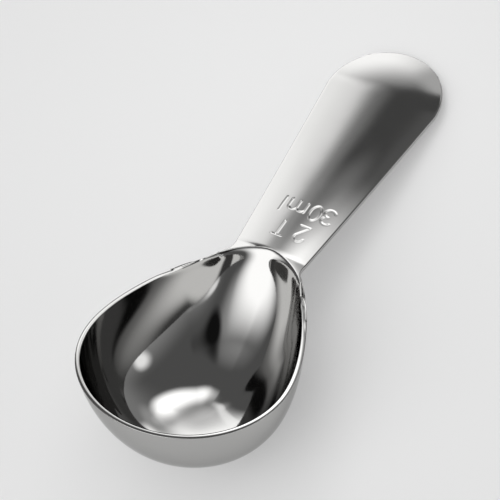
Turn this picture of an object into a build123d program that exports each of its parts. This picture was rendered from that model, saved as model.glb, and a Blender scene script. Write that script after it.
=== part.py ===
from build123d import *
import math
import os

os.makedirs("parts", exist_ok=True)

# Driving dimensions of the pressed steel, in millimetres and taken with the rim level.
# The origin while it is drawn is at the widest place of the rim, with the handle towards +Y.
sheet = 1.1                # thickness of the steel
bowl_width = 50.4          # outside width of the rim
bowl_front = 22.3          # widest place of the rim to its front edge
bowl_rear = 35.6           # widest place to the point where the egg shaped rim would close
side_run = 9.7             # how far the sides run back before they close in
rear_breadth = 14.1        # breadth of the rear end of the egg
bowl_depth = 22.5          # rim down to the underside of the base
base_width = 10.0          # width of the flat in the middle of the base
base_offset = 0.8          # middle of the base behind the widest place
wall_lean = 4.2            # height above the rim where the wall would stand upright
neck_width = 18.3          # handle width where it leaves the bowl
tip_width = 28.5           # handle width where the rounded tip begins
tip_round = 14.0           # length of the rounded tip
handle_length = 64.5       # closing point of the egg to the end of the tip
handle_rise = 6.6          # tip edge above the rim
handle_bow = 0.36          # how far the handle dips below a straight line
crown = 0.9                # middle of the handle above its edges
neck_fillet = 4.0          # rounding of the outline in the two corners of the neck
shoulder = 1.2             # how far back the edge between bowl and handle is rounded
foot_depth = 0.15          # steel worn or pressed flat where the bowl lies on a worktop
seam_gap = 4.0             # closing point of the egg to the line where bowl and handle divide

# Powers of the curve that the wall follows from the base to the rim
wall_power = 2.77
floor_power = 2.14

# A quarter of an ellipse as one cubic curve: its pull as a share of each half axis
quarter_share = 0.5523

# Heights of the rings up the wall, from the flat base (0) to the rim (1)
ring_shares = (0.033, 0.095, 0.2, 0.36, 0.56, 0.78, 1)

# Height of the rounded edge of the neck beside the crown, and the rings that shape it
mouth_share = 1.05
mouth_rings = 4

# Width of the arched sheet before it is trimmed to the handle's outline
spread_share = 1.2

# Places of the handle's cross sections, from the neck (0) to the end of the tip (1)
section_shares = (0, 0.25, 0.5, 0.7, 0.78, 0.86, 0.93, 1)

half_bowl = bowl_width / 2
handle_end = bowl_rear + handle_length
tip_start = handle_end - tip_round
plate_start = bowl_rear - neck_width / 2 - 2 * sheet


def egg_wire(half_width, front, rear, share, height):
    """Egg outline, drawn at a share of its full size about the middle of the base."""
    pull = quarter_share
    breadth = rear_breadth * half_width / half_bowl
    right = [
        [(0, -front), (pull * half_width, -front), (half_width, -pull * front), (half_width, 0)],
        [(half_width, 0), (half_width, side_run), (breadth, rear), (0, rear)],
    ]
    left = [[(-x, y) for x, y in reversed(curve)] for curve in reversed(right)]
    edges = []
    for curve in right + left:
        points = [(x * share, base_offset + (y - base_offset) * share, height) for x, y in curve]
        edges.append(Edge.make_bezier(*points))
    return Wire(edges)


def ring_size(height, depth):
    """Size of the ring at this height beside the ring at the rim."""
    full = depth + wall_lean
    rim_place = 1 - (wall_lean / full) ** floor_power
    place = 1 - ((wall_lean - height) / full) ** floor_power
    return (place / rim_place) ** (1 / wall_power)


def bowl_form(inset):
    """Solid egg shaped form of the bowl below its rim, smaller by inset all over."""
    half_width = half_bowl - inset
    front = bowl_front - inset
    rear = bowl_rear - inset
    depth = bowl_depth - inset
    wires = [egg_wire(half_width, front, rear, base_width / bowl_width, -depth)]
    for share in ring_shares:
        height = depth * (share - 1)
        wires.append(egg_wire(half_width, front, rear, ring_size(height, depth), height))
    return Solid.make_loft(wires)


def mouth_form():
    """Space over the bowl's mouth, which spreads upwards and so rounds the edge of the neck."""
    wires = []
    for ring in range(mouth_rings + 1):
        turn = math.pi / 2 * ring / mouth_rings
        inset = sheet - shoulder * (1 - math.cos(turn))
        height = mouth_share * crown * math.sin(turn)
        wires.append(egg_wire(half_bowl - inset, bowl_front - inset, bowl_rear - inset, 1, height))
    return Solid.make_loft(wires)


def handle_half_width(y):
    """Half width of the handle, which widens evenly from the neck to the tip."""
    place = (y - bowl_rear) / (tip_start - bowl_rear)
    return (neck_width + (tip_width - neck_width) * place) / 2


def edge_height(y):
    """Height of the handle's top edges above the rim."""
    place = (y - bowl_rear) / handle_length
    return handle_rise * place - 4 * handle_bow * place * (1 - place)


def tip_drop(y):
    """How far the middle of the handle falls to meet its edge at the end of the tip."""
    past_tip = max(y - tip_start, 0) / tip_round
    return crown * past_tip**2


def crowned_section(y, half_width, edge_z, sagitta):
    """Cross section of the handle's sheet: a shallow arch of even thickness."""
    left, middle, right = (-half_width, y, edge_z), (0, y, edge_z + sagitta), (half_width, y, edge_z)
    drop = Vector(0, 0, -sheet)
    top = Edge.make_three_point_arc(left, middle, right)
    bottom = Edge.make_three_point_arc(Vector(*right) + drop, Vector(*middle) + drop, Vector(*left) + drop)
    ends = [Edge.make_line(top @ 1, bottom @ 0), Edge.make_line(bottom @ 1, top @ 0)]
    return Wire([top, ends[0], bottom, ends[1]])


def plate_form():
    """Arched sheet from inside the bowl's mouth to the tip, a little wider than the handle."""
    wires = []
    for y in (plate_start, *[bowl_rear + handle_length * share for share in section_shares]):
        half_width = spread_share * max(handle_half_width(y), neck_width / 2)
        edge_z = edge_height(y) - tip_drop(y) + crown * (1 - spread_share**2)
        wires.append(crowned_section(y, half_width, edge_z, crown * spread_share**2))
    return Solid.make_loft(wires)


def outline_face():
    """Plan of the whole sheet: egg and handle, with rounded corners at the neck."""
    egg = Face(egg_wire(half_bowl, bowl_front, bowl_rear, 1, 0))
    base = handle_half_width(plate_start)
    tip = tip_width / 2
    pull_x = quarter_share * tip
    pull_y = tip_start + quarter_share * tip_round
    edges = [
        Edge.make_line((base, plate_start), (tip, tip_start)),
        Edge.make_bezier((tip, tip_start), (tip, pull_y), (pull_x, handle_end), (0, handle_end)),
        Edge.make_bezier((0, handle_end), (-pull_x, handle_end), (-tip, pull_y), (-tip, tip_start)),
        Edge.make_line((-tip, tip_start), (-base, plate_start)),
        Edge.make_line((-base, plate_start), (base, plate_start)),
    ]
    plan = egg + Face(Wire(edges))
    corners = [point for point in plan.vertices() if point.Y < bowl_rear]
    return plan.fillet_2d(neck_fillet, corners)


def level_spoon():
    """The whole pressed sheet with its rim level."""
    column = extrude(outline_face(), bowl_depth, both=True)
    steel = bowl_form(0) + (plate_form() & column)
    return steel - (bowl_form(sheet) + mouth_form())


def lowest(shape, tilt):
    """Lowest point of a shape once the handle's end is tipped down by this angle."""
    return shape.rotate(Axis.X, -tilt).bounding_box().min.Z


spoon = level_spoon()
seam = Plane(origin=(0, bowl_rear + seam_gap, 0), z_dir=(0, 1, 0))
handle = spoon.split(seam, keep=Keep.TOP)
bowl = spoon.split(seam, keep=Keep.BOTTOM)

# The spoon lies on the flat spot under its bowl and on the end of its handle
low_tilt = 0
high_tilt = 45
for step in range(24):
    rest_tilt = (low_tilt + high_tilt) / 2
    if lowest(handle, rest_tilt) > lowest(bowl, rest_tilt) + foot_depth:
        low_tilt = rest_tilt
    else:
        high_tilt = rest_tilt

bowl = bowl.rotate(Axis.X, -rest_tilt)
handle = handle.rotate(Axis.X, -rest_tilt)
worktop = Plane(origin=(0, 0, bowl.bounding_box().min.Z + foot_depth))
bowl = bowl.split(worktop, keep=Keep.TOP)
lying = Compound([bowl, handle]).bounding_box()
place = Location((0, -lying.center().Y, -lying.min.Z))
nodes = {"bowl": bowl, "handle": handle}
for name, shape in nodes.items():
    export_step(shape.moved(place), "parts/" + name + ".step")

print("cubic millimetres that the bowl holds when level:", bowl_form(sheet).volume)
print("rest tilt:", rest_tilt, "moved by:", place.position)
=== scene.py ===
import math

import bpy
import numpy as np
from mathutils import Matrix, Vector


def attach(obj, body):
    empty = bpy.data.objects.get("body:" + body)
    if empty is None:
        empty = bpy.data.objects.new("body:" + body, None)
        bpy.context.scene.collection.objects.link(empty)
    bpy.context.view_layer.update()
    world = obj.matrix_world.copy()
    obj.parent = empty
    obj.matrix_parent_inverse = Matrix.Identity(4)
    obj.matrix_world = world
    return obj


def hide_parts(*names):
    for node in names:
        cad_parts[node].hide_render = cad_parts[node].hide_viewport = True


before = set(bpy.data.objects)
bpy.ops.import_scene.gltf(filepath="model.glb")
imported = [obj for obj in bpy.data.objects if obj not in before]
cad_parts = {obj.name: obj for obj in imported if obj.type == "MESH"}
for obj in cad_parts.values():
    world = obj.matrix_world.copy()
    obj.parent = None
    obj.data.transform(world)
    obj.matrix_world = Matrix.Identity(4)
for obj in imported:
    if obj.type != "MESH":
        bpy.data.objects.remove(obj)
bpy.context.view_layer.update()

mm = 0.001

# The spoon is drawn with its rim level, in millimetres, with y = 0 at the widest place of the rim
# and the handle towards +y. At the end it is laid down on the worktop, where it rests on a small
# flat under the bowl and on the end of the handle.
layDown = {
    "tilt": 17.28, "moveY": -37.56, "moveZ": 24.225,
    "clear": 0.002,         # keeps those flats off the floor's own face
}


def deselectAll():
    if bpy.context.object and bpy.context.object.mode != 'OBJECT':
        bpy.ops.object.mode_set(mode='OBJECT')
    bpy.ops.object.select_all(action='DESELECT')


def pickVertices(piece, indexes):
    # selects these vertices only, and goes to edit mode
    mesh = piece.data
    chosen = np.zeros(len(mesh.vertices), bool)
    chosen[indexes] = True
    mesh.polygons.foreach_set("select", np.zeros(len(mesh.polygons), bool))
    mesh.edges.foreach_set("select", np.zeros(len(mesh.edges), bool))
    mesh.vertices.foreach_set("select", chosen)
    bpy.ops.object.mode_set(mode='EDIT')
    bpy.ops.mesh.select_mode(type='VERT')


def readPoints(piece):
    points = np.zeros(len(piece.data.vertices) * 3)
    piece.data.vertices.foreach_get("co", points)
    return points.reshape(-1, 3)


def writePoints(piece, points):
    piece.data.vertices.foreach_set("co", np.asarray(points, float).ravel())
    piece.data.update()


def applyModifiers(piece):
    deselectAll()
    bpy.context.view_layer.objects.active = piece
    piece.select_set(True)
    for modifier in list(piece.modifiers):
        bpy.ops.object.modifier_apply(modifier=modifier.name)


def roundEdges(piece, width, sharp):
    # rounds the edges where two faces meet at more than a sharp angle, in degrees
    piece.data.polygons.foreach_set("select", np.zeros(len(piece.data.polygons), bool))
    piece.data.edges.foreach_set("select", np.zeros(len(piece.data.edges), bool))
    piece.data.vertices.foreach_set("select", np.zeros(len(piece.data.vertices), bool))
    bpy.ops.object.mode_set(mode='EDIT')
    bpy.ops.mesh.select_mode(type='EDGE')
    bpy.ops.mesh.edges_select_sharp(sharpness=math.radians(sharp))
    bpy.ops.mesh.bevel(offset=width, segments=3, clamp_overlap=False)
    bpy.ops.object.mode_set(mode='OBJECT')


spoonShape = {
    "halfWidth": 25.2,      # outside of the rim
    "front": 22.3,
    "sideRun": 17.1,        # pull of the outline's curve at the sides and at the rear
    "rearBreadth": 3.9,
    "rear": 42.0,           # where the outline would close if the handle didn't cut it off
    "rimEdge": 1.1,         # breadth of the rim's flat edge, which narrows beside the neck
    "neckEdge": 0.3,
    "edgeFade": (24, 36),
    "neckFrom": 15,         # behind this y the outline may bend out to the handle
    "neckFold": 36.0,       # where the bowl ends under the handle, almost straight across
    "neckSquare": 9,        # how square the mouth's two rear corners are
    "depth": 21.45,         # inside
    "middle": 1.2,          # centre of the rings
    "wallPower": 2.92,      # fullness of the wall and of the floor
    "floorPower": 2.06,
    "wallLean": 4.0,        # height above the rim where the wall would stand upright
    "wallFrom": 0.6,        # share of the way to the rim where the walls differ in full
    "ramp": (-0.9, -0.55, -0.6),    # the rear wall slopes more gently than the others
    "rampSpread": 40,       # in degrees to each side
    "frontWall": (0.4, -0.15),      # and the front wall is a little steeper
    "pastSlope": 8,         # how steeply the bowl's surface runs on past the mouth
    "neckY": 35.6,
    "neckHalf": 9.15,       # half width of the handle at the neck
    "tipHalf": 14.23,
    "tipRound": 14.05,
    "end": 99.95,
    "rise": 5.28,           # handle height along its length, linear and bent part
    "bend": 1.52,
    "riseSpan": 65.8,
    "crown": 0.9,           # middle of the handle above its edges
    "crownPower": 2.5,
    "crownFade": (27, 37),
    "crownFlare": 0.65,     # the crown widens towards the bowl
    "crownLimit": (1.25, 8),        # it levels out beyond the handle's edge
    "neckCorner": 3.4,      # rounding of the outline at the neck
    "fold": 3.5,            # rounding of the bend from the handle into the bowl, in the middle
    "foldSpread": 7.5,
    "mouthEdge": 1.5,       # and at the sides
    "liftFrom": 22.0,       # the handle's surface rises out of the way over the bowl
    "lift": 0.05,
    "sheet": 1.1,
    "edgeRound": 0.28,
    "sharp": 50,            # degrees: edges above it are rounded, faces below the next are smooth
    "smooth": 60,
}
# How finely the blank is cut. Rings, rows and columns lie closer where the sheet bends.
spoonMesh = {
    "side": 120, "cornerPoints": 40, "columns": 22, "rings": 84, "lastRing": 0.03,
    "joinY": 31.0, "rows": 110, "neckRows": 0.4, "rowPower": 2.5, "tipRows": 26, "shoulder": 50,
}


def bezier(points, count):
    t = np.linspace(0, 1, count)[:, None]
    a, b, c, d = [np.array(point, float) for point in points]
    return (1 - t) ** 3 * a + 3 * (1 - t) ** 2 * t * b + 3 * (1 - t) * t * t * c + t ** 3 * d


def smoothStep(value, low, high):
    share = np.clip((value - low) / (high - low), 0, 1)
    return share * share * (3 - 2 * share)


def inward(line, distance):
    # moves a line sideways towards the middle, where it stops
    along = np.gradient(line, axis=0)
    along /= np.linalg.norm(along, axis=1)[:, None]
    moved = line + np.c_[-along[:, 1], along[:, 0]] * np.reshape(distance, (-1, 1))
    return np.c_[np.maximum(moved[:, 0], 0), moved[:, 1]]


def eggHalf(count=400):
    # right half of the bowl's outline from the front to the rear, an egg
    s = spoonShape
    turn = np.linspace(0, math.pi / 2, count)
    wide, rear = s["halfWidth"], s["rear"]
    front = np.c_[wide * np.sin(turn), -s["front"] * np.cos(turn)]
    back = bezier([(wide, 0), (wide, s["sideRun"]), (s["rearBreadth"], rear), (0, rear)], count)
    return np.r_[front, back[1:]]


def sideLine():
    # inner edge of the rim on the right side
    s = spoonShape
    outside = eggHalf()
    fade = smoothStep(outside[:, 1], *s["edgeFade"])
    return inward(outside, s["rimEdge"] + (s["neckEdge"] - s["rimEdge"]) * fade)


def ringReach(x, y):
    # distance from the middle of the bowl to its mouth, in the direction of each point
    s = spoonShape
    away = sideLine() - [0, s["middle"]]
    turn = np.arctan2(away[:, 0], -away[:, 1])
    here = np.arctan2(np.abs(x), s["middle"] - y)
    reach = np.interp(here, turn, np.hypot(away[:, 0], away[:, 1]))
    fromRear = math.pi - here
    across = (s["neckFold"] - s["middle"]) / np.maximum(np.cos(fromRear), 0.05)
    reach = (reach ** -s["neckSquare"] + across ** -s["neckSquare"]) ** (-1 / s["neckSquare"])
    return reach, here, np.degrees(fromRear)


def handleHalf(y):
    s = spoonShape
    tipStart = s["end"] - s["tipRound"]
    return s["neckHalf"] + (s["tipHalf"] - s["neckHalf"]) * (y - s["neckY"]) / (tipStart - s["neckY"])


def bowlHeight(x, y):
    s = spoonShape
    reach, here, fromRear = ringReach(x, y)
    away = np.hypot(x, y - s["middle"]) / reach
    outer = smoothStep(away, 0, s["wallFrom"])
    toRear = np.exp(-(fromRear / s["rampSpread"]) ** 2) * outer
    toFront = np.cos(np.minimum(here, math.pi / 2)) ** 2 * outer
    wall = s["wallPower"] + s["ramp"][0] * toRear + s["frontWall"][0] * toFront
    floor = s["floorPower"] + s["ramp"][1] * toRear + s["frontWall"][1] * toFront
    lean = s["wallLean"] + s["ramp"][2] * toRear
    full = s["depth"] + lean
    rimPlace = (1 - (lean / full) ** floor) ** (1 / wall)
    place = away * rimPlace
    inside = np.clip(1 - np.clip(place, 0, 1) ** wall, 0, 1)
    past = s["pastSlope"] * full * np.maximum(place - 1, 0)
    return lean - full * inside ** (1 / floor) + past


def handleHeight(x, y):
    s = spoonShape
    along = np.maximum(y - s["neckY"], 0) / s["riseSpan"]
    half = np.where(y > s["neckY"], handleHalf(y), s["neckHalf"] + s["crownFlare"] * (s["neckY"] - y))
    tipStart = s["end"] - s["tipRound"]
    pastTip = np.clip((y - tipStart) / s["tipRound"], 0, 0.999)
    across = np.sqrt((np.abs(x) / half) ** 2 + pastTip ** 2)
    limit, power = s["crownLimit"]
    across = across / (1 + (across / limit) ** power) ** (1 / power)
    height = s["rise"] * along + s["bend"] * along ** 2
    height = height + s["crown"] * smoothStep(y, *s["crownFade"]) * (1 - across ** s["crownPower"])
    return height + s["lift"] * np.maximum(s["liftFrom"] - y, 0) ** 2


def pressHeight(x, y):
    # the handle's surface and the bowl's, joined by a rounded fold
    s = spoonShape
    a, b = handleHeight(x, y), bowlHeight(x, y)
    blend = s["mouthEdge"] + (s["fold"] - s["mouthEdge"]) * np.exp(-(x / s["foldSpread"]) ** 2)
    near = np.maximum(blend - np.abs(a - b), 0) / blend
    return np.minimum(a, b) - blend * near ** 3 / 6


def neckOutline():
    # right side of the blank, up to the rounded corner where the handle begins
    s = spoonShape
    side = sideLine()
    radius = s["neckCorner"]
    centres = inward(side, -radius)
    low = np.array([handleHalf(s["neckFrom"]), s["neckFrom"]])
    high = np.array([handleHalf(s["end"]), s["end"]])
    run = (high - low) / np.linalg.norm(high - low)
    normal = np.array([run[1], -run[0]])
    distance = (centres - low) @ normal
    rearOnes = np.where(side[:, 1] > s["neckFrom"])[0]
    meet = rearOnes[np.argmin(np.abs(distance[rearOnes] - radius))]
    centre = centres[meet]
    foot = centre - normal * radius
    first = math.atan2(*(side[meet] - centre)[::-1]) % (2 * math.pi)
    last = math.atan2(*(foot - centre)[::-1]) % (2 * math.pi)
    turn = np.linspace(first, last, spoonMesh["cornerPoints"])
    corner = np.c_[centre[0] + radius * np.cos(turn), centre[1] + radius * np.sin(turn)]
    return np.r_[side[:meet], corner]


def edgeHalf(y, neck):
    # half width of the blank behind the bowl: the neck's corner, then the handle
    if y < neck[-1, 1]:
        return float(np.interp(y, neck[:, 1], neck[:, 0]))
    return float(handleHalf(y))


def evenly(line, count):
    length = np.r_[0, np.cumsum(np.hypot(*np.diff(line, axis=0).T))]
    want = np.linspace(0, length[-1], count)
    return np.c_[np.interp(want, length, line[:, 0]), np.interp(want, length, line[:, 1])]


# The capacity mark is stamped across the handle near the neck. It reads from the tip's side, so
# its letters run towards -x with their feet towards the tip: letter, start x, foot y, width, height.
capacityMark = {
    "letters": [
        ("3", 7.95, 51.75, 2.35, 4.25), ("0", 4.95, 51.45, 2.5, 4.3),
        ("m", 1.1, 51.15, 4.2, 2.85), ("l", -4.66, 51.15, 0, 4.05),
        ("2", 5.05, 45.05, 2.45, 4.65), ("T", -0.1, 44.75, 2.5, 4.35),
    ],
    "halfStroke": 0.25,
    "depth": 0.075,
    "cuts": 2,              # the blank is cut finer where the mark goes
    "area": (-5.6, 8.9, 39.4, 52.8),
}


def arcLine(x, y, wide, high, first, last, count=20):
    turn = np.radians(np.linspace(first, last, count))
    return np.c_[x + wide * np.cos(turn), y + high * np.sin(turn)]


def letterLines(letter):
    # strokes of one letter, 1 high and 1 wide
    if letter == "3":
        return [arcLine(0.45, 0.755, 0.5, 0.245, 150, -90), arcLine(0.45, 0.255, 0.55, 0.255, 90, -150)]
    if letter == "0":
        return [arcLine(0.5, 0.5, 0.5, 0.5, 0, 360, 40)]
    if letter == "2":
        return [np.r_[arcLine(0.5, 0.72, 0.48, 0.28, 170, -25), [[0.02, 0], [1, 0]]]]
    if letter == "T":
        return [np.array([[0, 1], [1, 1]]), np.array([[0.5, 1], [0.5, 0]])]
    if letter == "m":
        first = np.r_[[[0, 0], [0, 1], [0, 0.72]], arcLine(0.25, 0.72, 0.25, 0.28, 180, 0, 14), [[0.5, 0]]]
        return [first, np.r_[[[0.5, 0.72]], arcLine(0.75, 0.72, 0.25, 0.28, 180, 0, 14), [[1, 0]]]]
    return [np.array([[0, 0], [0, 1]])]


def markDistance(x, y):
    # distance from each point to the nearest stroke
    near = np.full(len(x), 9.0)
    for letter, startX, footY, wide, high in capacityMark["letters"]:
        for line in letterLines(letter):
            ends = np.c_[startX - line[:, 0] * wide, footY - line[:, 1] * high]
            for a, b in zip(ends[:-1], ends[1:]):
                run = b - a
                share = np.clip(((x - a[0]) * run[0] + (y - a[1]) * run[1]) / max(run @ run, 1e-9), 0, 1)
                near = np.minimum(near, np.hypot(x - a[0] - share * run[0], y - a[1] - share * run[1]))
    return near


def makeBlank(side, neck):
    # outline of the flat bowl: right side, straight across the neck, left side
    s, g = spoonShape, spoonMesh
    joinY = g["joinY"]
    side = side[:np.argmax(side[:, 1] > joinY)]
    side = evenly(np.r_[side, [[edgeHalf(joinY, neck), joinY]]], g["side"])
    across = np.c_[np.linspace(side[-1, 0], 0, g["columns"] + 1), np.full(g["columns"] + 1, joinY)]
    half = np.r_[side, across[1:]]
    outline = np.r_[half, np.c_[-half[::-1, 0], half[::-1, 1]][1:-1]]
    deselectAll()
    bpy.ops.mesh.primitive_circle_add(vertices=len(outline), radius=s["halfWidth"])
    piece = bpy.context.object
    piece.name = "spoonSheet"
    writePoints(piece, np.c_[outline, np.zeros(len(outline))])
    return piece


def addRings(piece):
    # rings of the bowl, each extruded from the last and made smaller about the middle
    s, g = spoonShape, spoonMesh
    shares = np.sin(np.linspace(math.pi / 2, g["lastRing"], g["rings"]))
    bpy.ops.object.mode_set(mode='EDIT')
    bpy.ops.mesh.select_all(action='SELECT')
    for ring in range(1, len(shares)):
        smaller = shares[ring] / shares[ring - 1]
        bpy.ops.mesh.extrude_edges_indiv()
        bpy.ops.transform.resize(value=(smaller, smaller, 1), center_override=(0, s["middle"], 0))
    bpy.ops.mesh.edge_face_add()
    bpy.ops.mesh.poke()
    bpy.ops.object.mode_set(mode='OBJECT')
    print("bowl rings", len(piece.data.vertices))


def addHandleRows(piece, neck):
    # rows of the handle, each extruded from the last
    s, g = spoonShape, spoonMesh
    pickVertices(piece, list(range(g["side"] - 1, g["side"] + 2 * g["columns"])))
    tipStart = s["end"] - s["tipRound"]
    even = np.linspace(0, 1, g["rows"] + 1)
    closer = g["neckRows"] * even + (1 - g["neckRows"]) * even ** g["rowPower"]
    rowsY = g["joinY"] + (tipStart - g["joinY"]) * closer
    for row in range(1, len(rowsY)):
        wider = edgeHalf(rowsY[row], neck) / edgeHalf(rowsY[row - 1], neck)
        bpy.ops.mesh.extrude_edges_indiv()
        bpy.ops.transform.translate(value=(0, rowsY[row] - rowsY[row - 1], 0))
        bpy.ops.transform.resize(value=(wider, 1, 1), center_override=(0, 0, 0))
    bpy.ops.object.mode_set(mode='OBJECT')
    print("handle rows", len(piece.data.vertices))


def addTip(piece):
    # rounded tip: rows that bend from straight to the tip's arc
    s, g = spoonShape, spoonMesh
    tipStart = s["end"] - s["tipRound"]
    lastRow = [v.index for v in piece.data.vertices if v.select]
    share = np.linspace(0, 1, g["tipRows"] + 1)[1:]
    shoulderTurn = math.radians(g["shoulder"])
    column = np.linspace(0, 1, 2 * g["columns"] + 1)
    wide, long = s["tipHalf"], s["tipRound"]
    turn = shoulderTurn + (math.pi - 2 * shoulderTurn) * column
    far = np.c_[wide * np.cos(turn), tipStart + long * np.sin(turn)]
    near = np.c_[wide * (1 - 2 * column), np.full(len(column), tipStart)]
    for step in share:
        edge = shoulderTurn * step
        rightEnd = np.array([wide * math.cos(edge), tipStart + long * math.sin(edge)])
        leftEnd = rightEnd * [-1, 1]
        sides = np.outer(1 - column, rightEnd) + np.outer(column, leftEnd)
        nearEnds = np.outer(1 - column, near[0]) + np.outer(column, near[-1])
        farEnds = np.outer(1 - column, far[0]) + np.outer(column, far[-1])
        row = (1 - step) * near + step * far + sides - (1 - step) * nearEnds - step * farEnds
        pickVertices(piece, lastRow)
        bpy.ops.mesh.extrude_edges_indiv()
        bpy.ops.object.mode_set(mode='OBJECT')
        points = readPoints(piece)
        fresh = np.array([v.index for v in piece.data.vertices if v.select])
        fresh = fresh[np.argsort(-points[fresh, 0])]
        points[fresh, :2] = row
        writePoints(piece, points)
        lastRow = fresh
    print("tip rows", len(piece.data.vertices))


def cutMarkArea(piece):
    # the faces under the capacity mark are cut finer
    points = readPoints(piece)
    left, right, low, high = capacityMark["area"]
    x, y = points[:, 0], points[:, 1]
    inArea = (x > left) & (x < right) & (y > low) & (y < high)
    pickVertices(piece, np.where(inArea)[0])
    bpy.ops.mesh.select_mode(type='FACE')
    bpy.ops.mesh.subdivide(number_cuts=capacityMark["cuts"], smoothness=0)
    bpy.ops.object.mode_set(mode='OBJECT')
    print("mark area cut", len(piece.data.vertices))


def pressBlank(piece):
    # every point of the flat blank gets its height, and the faces turn upwards
    points = readPoints(piece)
    blank = points[:, :2].copy()
    points[:, 2] = pressHeight(points[:, 0], points[:, 1])
    writePoints(piece, points)
    deselectAll()
    bpy.context.view_layer.objects.active = piece
    piece.select_set(True)
    bpy.ops.object.mode_set(mode='EDIT')
    bpy.ops.mesh.select_all(action='SELECT')
    bpy.ops.mesh.normals_make_consistent(inside=False)
    bpy.ops.object.mode_set(mode='OBJECT')
    up = sum(p.normal.z * p.area for p in piece.data.polygons)
    if up < 0:
        bpy.ops.object.mode_set(mode='EDIT')
        bpy.ops.mesh.flip_normals()
        bpy.ops.object.mode_set(mode='OBJECT')
    return blank


def thickenSheet(piece):
    wall = piece.modifiers.new("sheetThickness", 'SOLIDIFY')
    wall.thickness = spoonShape["sheet"]
    wall.offset = -1
    applyModifiers(piece)
    print("sheet thickened", len(piece.data.polygons))


def stampMark(piece, blank):
    # the top side sinks along the strokes
    points = readPoints(piece)
    near = markDistance(blank[:, 0], blank[:, 1])
    share = np.clip(1 - near / capacityMark["halfStroke"], 0, 1)
    points[:len(blank), 2] -= capacityMark["depth"] * share * share * (3 - 2 * share)
    writePoints(piece, points)


def makeSpoon():
    s = spoonShape
    side = neckOutline()
    neck = side[side[:, 1] > s["neckFrom"]]
    piece = makeBlank(side, neck)
    addRings(piece)
    addHandleRows(piece, neck)
    addTip(piece)
    cutMarkArea(piece)
    blank = pressBlank(piece)
    thickenSheet(piece)
    stampMark(piece, blank)
    # the two sharp edges all round the sheet are rounded
    roundEdges(piece, s["edgeRound"], s["sharp"])
    bpy.ops.object.shade_smooth_by_angle(angle=math.radians(s["smooth"]))
    return piece


spoon = makeSpoon()
layMatrix = Matrix.Translation((0, layDown["moveY"] * mm, layDown["moveZ"] * mm))
layMatrix = layMatrix @ Matrix.Rotation(-math.radians(layDown["tilt"]), 4, 'X')
spoon.data.transform(layMatrix @ Matrix.Scale(mm, 4))
points = readPoints(spoon)
points[:, 2] = np.maximum(points[:, 2], layDown["clear"] * mm)
writePoints(spoon, points)
print("spoon made", len(spoon.data.polygons), "faces")


steelFinish = {
    "colour": (0.49, 0.487, 0.48), "grazing": (0.7, 0.7, 0.7),
    "roughLow": 0.035, "roughHigh": 0.09, "cloudScale": 90, "cloudDetail": 5, "cloudRange": (0.3, 0.7),
    "bump": 0.02, "grainScale": 1400, "grainDetail": 3, "grainHeight": 0.00005,
}


def polishedSteel():
    material = bpy.data.materials.new("polishedSteel")
    material.use_nodes = True
    nodes, links = material.node_tree.nodes, material.node_tree.links
    shader = nodes["Principled BSDF"]
    shader.inputs["Base Color"].default_value = (*steelFinish["colour"], 1)
    shader.inputs["Metallic"].default_value = 1
    shader.inputs["Specular Tint"].default_value = (*steelFinish["grazing"], 1)
    place = nodes.new("ShaderNodeTexCoord")
    cloudy = nodes.new("ShaderNodeTexNoise")
    cloudy.inputs["Scale"].default_value = steelFinish["cloudScale"]
    cloudy.inputs["Detail"].default_value = steelFinish["cloudDetail"]
    links.new(place.outputs["Object"], cloudy.inputs["Vector"])
    rough = nodes.new("ShaderNodeMapRange")
    rough.inputs["From Min"].default_value = steelFinish["cloudRange"][0]
    rough.inputs["From Max"].default_value = steelFinish["cloudRange"][1]
    rough.inputs["To Min"].default_value = steelFinish["roughLow"]
    rough.inputs["To Max"].default_value = steelFinish["roughHigh"]
    links.new(cloudy.outputs["Fac"], rough.inputs["Value"])
    links.new(rough.outputs["Result"], shader.inputs["Roughness"])
    fine = nodes.new("ShaderNodeTexNoise")
    fine.inputs["Scale"].default_value = steelFinish["grainScale"]
    fine.inputs["Detail"].default_value = steelFinish["grainDetail"]
    links.new(place.outputs["Object"], fine.inputs["Vector"])
    bump = nodes.new("ShaderNodeBump")
    bump.inputs["Strength"].default_value = steelFinish["bump"]
    bump.inputs["Distance"].default_value = steelFinish["grainHeight"]
    links.new(fine.outputs["Fac"], bump.inputs["Height"])
    links.new(bump.outputs["Normal"], shader.inputs["Normal"])
    return material


spoon.data.materials.clear()
spoon.data.materials.append(polishedSteel())
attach(spoon, "root")
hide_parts("bowl", "handle")
print("steel finished")


studio = {
    "floorColour": (0.8, 0.8, 0.8), "floorRough": 0.9, "floorWhite": 0.3, "floorSize": 6,
    "fillSize": 1.2, "fillHigh": 1.0, "fillLevel": 1.0,
}


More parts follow.
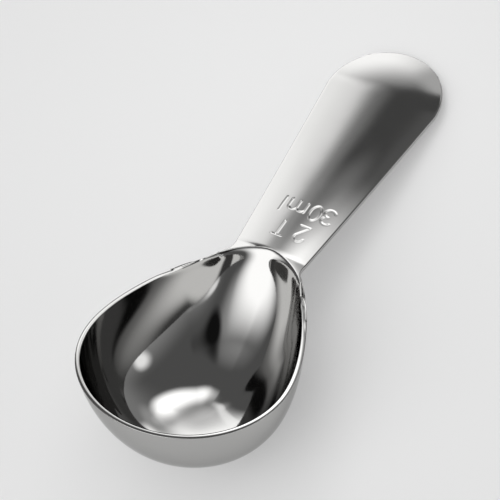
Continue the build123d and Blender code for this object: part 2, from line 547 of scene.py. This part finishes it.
def makeFloor():
    deselectAll()
    bpy.ops.mesh.primitive_plane_add(size=studio["floorSize"], location=(0, 0, 0))
    floor = bpy.context.object
    floor.name = "floor"
    material = bpy.data.materials.new("paleFloor")
    material.use_nodes = True
    nodes, links = material.node_tree.nodes, material.node_tree.links
    shader = nodes["Principled BSDF"]
    shader.inputs["Base Color"].default_value = (*studio["floorColour"], 1)
    shader.inputs["Roughness"].default_value = studio["floorRough"]
    # part of the floor's whiteness is only for the eye and for reflections, and lights nothing
    ray = nodes.new("ShaderNodeLightPath")
    seen = ray.outputs["Is Camera Ray"]
    for other in ("Is Glossy Ray", "Is Transmission Ray"):
        either = nodes.new("ShaderNodeMath")
        either.operation = 'ADD'
        either.use_clamp = True
        links.new(seen, either.inputs[0])
        links.new(ray.outputs[other], either.inputs[1])
        seen = either.outputs["Value"]
    share = nodes.new("ShaderNodeMath")
    share.operation = 'MULTIPLY'
    share.inputs[1].default_value = studio["floorWhite"]
    links.new(seen, share.inputs[0])
    white = nodes.new("ShaderNodeEmission")
    white.inputs["Strength"].default_value = 1
    mix = nodes.new("ShaderNodeMixShader")
    links.new(share.outputs["Value"], mix.inputs["Fac"])
    links.new(shader.outputs["BSDF"], mix.inputs[1])
    links.new(white.outputs["Emission"], mix.inputs[2])
    links.new(mix.outputs["Shader"], nodes["Material Output"].inputs["Surface"])
    floor.data.materials.append(material)


makeFloor()

# The studio's soft lights, on a map of the room as the spoon sees it: the middle is straight above
# its level rim, the edge of a circle of radius 1 is the horizon, and +y is over the handle.
# Each is an oval: middle x, y, half width, half height, turn in degrees, softness, brightness.
# Later ones lie over earlier ones.
roomDim = 0.13
roomLights = {
    "rightWall": (0.95, 0.15, 0.4, 0.9, 0, 0.5, 0.37),
    "backWall": (0.2, 0.75, 0.8, 0.42, 0, 0.5, 0.32),
    "windowSide": (-0.1, -0.55, 0.34, 0.28, -20, 0.5, 0.6),
    "frontWindow": (-0.27, -0.78, 0.38, 0.41, 0, 0.36, 2.0),
    "darkCorner": (0.2, -0.29, 0.21, 0.075, -27, 0.4, 0.01),
    "rightLamp": (0.63, 0.08, 0.12, 0.08, 0, 0.6, 1.5),
    "farLamp": (0.65, -0.5, 0.05, 0.08, 0, 0.6, 1.3),
    "leftGlow": (-0.4, 0.265, 0.17, 0.025, -7, 0.3, 1.2),
    "leftWindow": (-0.55, 0.64, 0.52, 0.42, 0, 0.16, 1.9),
    "backLamp": (-0.05, 0.43, 0.17, 0.08, 0, 0.6, 0.5),
    "tipGlow": (-0.1, 0.335, 0.09, 0.06, 0, 0.3, 0.7),
    "darkCard": (-0.14, 0.25, 0.09, 0.03, 5, 0.35, 0.09),
}
# Two lamps hang close enough to show in one part of the spoon only. Each is aimed at a point of it.
nearLamps = {
    "bowlLamp": {
        "aim": (0, 0, -20), "azimuth": -17, "elevation": 61.5, "distance": 150,
        "width": 104, "height": 86, "brightness": 2.4, "soft": 0.4,
    },
    "markLamp": {
        "aim": (0, 50, 0), "azimuth": -31, "elevation": 57.5, "distance": 100,
        "width": 44, "height": 30, "brightness": 0.2, "soft": 0.4,
    },
}


def makeRoom():
    world = bpy.data.worlds.new("studioRoom")
    bpy.context.scene.world = world
    world.use_nodes = True
    nodes, links = world.node_tree.nodes, world.node_tree.links
    background = nodes["Background"]
    look = nodes.new("ShaderNodeTexCoord")
    level = nodes.new("ShaderNodeMapping")      # turns directions to the spoon's level rim
    level.vector_type = 'VECTOR'
    level.inputs["Rotation"].default_value = (math.radians(layDown["tilt"]), 0, 0)
    links.new(look.outputs["Generated"], level.inputs["Vector"])
    split = nodes.new("ShaderNodeSeparateXYZ")
    links.new(level.outputs["Vector"], split.inputs["Vector"])
    above = nodes.new("ShaderNodeMath")
    above.operation = 'ADD'
    above.inputs[1].default_value = 1.0001
    links.new(split.outputs["Z"], above.inputs[0])
    flat = nodes.new("ShaderNodeCombineXYZ")
    for axis in "XY":
        share = nodes.new("ShaderNodeMath")
        share.operation = 'DIVIDE'
        links.new(split.outputs[axis], share.inputs[0])
        links.new(above.outputs["Value"], share.inputs[1])
        links.new(share.outputs["Value"], flat.inputs[axis])
    glow = None
    for name, (x, y, halfWide, halfHigh, turn, soft, bright) in roomLights.items():
        oval = nodes.new("ShaderNodeMapping")
        oval.label = name
        oval.vector_type = 'TEXTURE'
        oval.inputs["Location"].default_value = (x, y, 0)
        oval.inputs["Rotation"].default_value = (0, 0, math.radians(turn))
        oval.inputs["Scale"].default_value = (halfWide, halfHigh, 1)
        links.new(flat.outputs["Vector"], oval.inputs["Vector"])
        out = nodes.new("ShaderNodeVectorMath")
        out.operation = 'LENGTH'
        links.new(oval.outputs["Vector"], out.inputs[0])
        edge = nodes.new("ShaderNodeMapRange")
        edge.interpolation_type = 'SMOOTHSTEP'
        edge.inputs["From Min"].default_value = 1 - soft
        edge.inputs["From Max"].default_value = 1 + soft
        edge.inputs["To Min"].default_value = 1
        edge.inputs["To Max"].default_value = 0
        links.new(out.outputs["Value"], edge.inputs["Value"])
        mix = nodes.new("ShaderNodeMix")
        mix.data_type = 'FLOAT'
        links.new(edge.outputs["Result"], mix.inputs["Factor"])
        if glow is None:
            mix.inputs["A"].default_value = roomDim
        else:
            links.new(glow, mix.inputs["A"])
        mix.inputs["B"].default_value = bright
        glow = mix.outputs["Result"]
    links.new(glow, background.inputs["Strength"])
    background.inputs["Color"].default_value = (1, 1, 1, 1)


def makeFillPanel():
    # brings the floor to a plain level, and is not mirrored in the steel
    data = bpy.data.lights.new("fillPanel", 'AREA')
    data.shape = 'SQUARE'
    data.size = studio["fillSize"]
    data.energy = studio["fillLevel"] * math.pi * data.size ** 2
    panel = bpy.data.objects.new("fillPanel", data)
    panel.location = (0, 0, studio["fillHigh"])
    panel.visible_camera = False
    panel.visible_glossy = False
    bpy.context.collection.objects.link(panel)


def makeNearLamp(name, lamp):
    data = bpy.data.lights.new(name, 'AREA')
    data.shape = 'ELLIPSE'
    data.size = lamp["width"] * mm
    data.size_y = lamp["height"] * mm
    area = math.pi / 4 * data.size * data.size_y
    data.energy = lamp["brightness"] * math.pi * area
    a, e = math.radians(lamp["azimuth"]), math.radians(lamp["elevation"])
    towards = Vector((math.sin(a) * math.cos(e), math.cos(a) * math.cos(e), math.sin(e)))
    sideways = Vector((0, 0, 1)).cross(towards).normalized()
    matrix = Matrix((sideways, towards.cross(sideways), towards)).transposed().to_4x4()
    matrix.translation = (Vector(lamp["aim"]) + towards * lamp["distance"]) * mm
    light = bpy.data.objects.new(name, data)
    bpy.context.scene.collection.objects.link(light)
    light.matrix_world = layMatrix @ matrix
    light.visible_camera = False
    # its diffuser is brightest in the middle
    data.use_nodes = True
    nodes, links = data.node_tree.nodes, data.node_tree.links
    emission = nodes["Emission"]
    across = nodes.new("ShaderNodeNewGeometry")
    centred = nodes.new("ShaderNodeVectorMath")
    centred.operation = 'SUBTRACT'
    centred.inputs[1].default_value = (0.5, 0.5, 0)
    links.new(across.outputs["Parametric"], centred.inputs[0])
    flat = nodes.new("ShaderNodeVectorMath")
    flat.operation = 'MULTIPLY'
    flat.inputs[1].default_value = (2, 2, 0)
    links.new(centred.outputs["Vector"], flat.inputs[0])
    out = nodes.new("ShaderNodeVectorMath")
    out.operation = 'LENGTH'
    links.new(flat.outputs["Vector"], out.inputs[0])
    fade = nodes.new("ShaderNodeMapRange")
    fade.interpolation_type = 'SMOOTHSTEP'
    fade.inputs["From Min"].default_value = 1 - lamp["soft"] * 2
    fade.inputs["From Max"].default_value = 1
    fade.inputs["To Min"].default_value = 1
    fade.inputs["To Max"].default_value = 0
    links.new(out.outputs["Value"], fade.inputs["Value"])
    links.new(fade.outputs["Result"], emission.inputs["Strength"])


makeRoom()
makeFillPanel()
for name, lamp in nearLamps.items():
    makeNearLamp(name, lamp)
print("studio lit")


cameraPlace = {
    "azimuth": 36.687, "elevation": 45.314, "roll": -7.385,   # about the spoon with its rim level
    "target": (-4.838, 34.702, -0.177), "distance": 767.57, "lens": 247.12,
}


def makeCamera():
    c = cameraPlace
    a, e, r = [math.radians(c[key]) for key in ("azimuth", "elevation", "roll")]
    back = Vector((math.sin(a) * math.cos(e), -math.cos(a) * math.cos(e), math.sin(e)))
    right = Vector((math.cos(a), math.sin(a), 0))
    up = back.cross(right)
    sideways = right * math.cos(r) + up * math.sin(r)
    upwards = up * math.cos(r) - right * math.sin(r)
    place = (Vector(c["target"]) + back * c["distance"]) * mm
    matrix = Matrix((sideways, upwards, back)).transposed().to_4x4()
    matrix.translation = place
    data = bpy.data.cameras.new("camera")
    data.sensor_width = 36
    data.lens = c["lens"]
    data.clip_start = 0.01
    camera = bpy.data.objects.new("camera", data)
    bpy.context.scene.collection.objects.link(camera)
    camera.matrix_world = layMatrix @ matrix
    bpy.context.scene.camera = camera


makeCamera()
bpy.context.scene.view_settings.view_transform = 'Standard'
print("camera set")
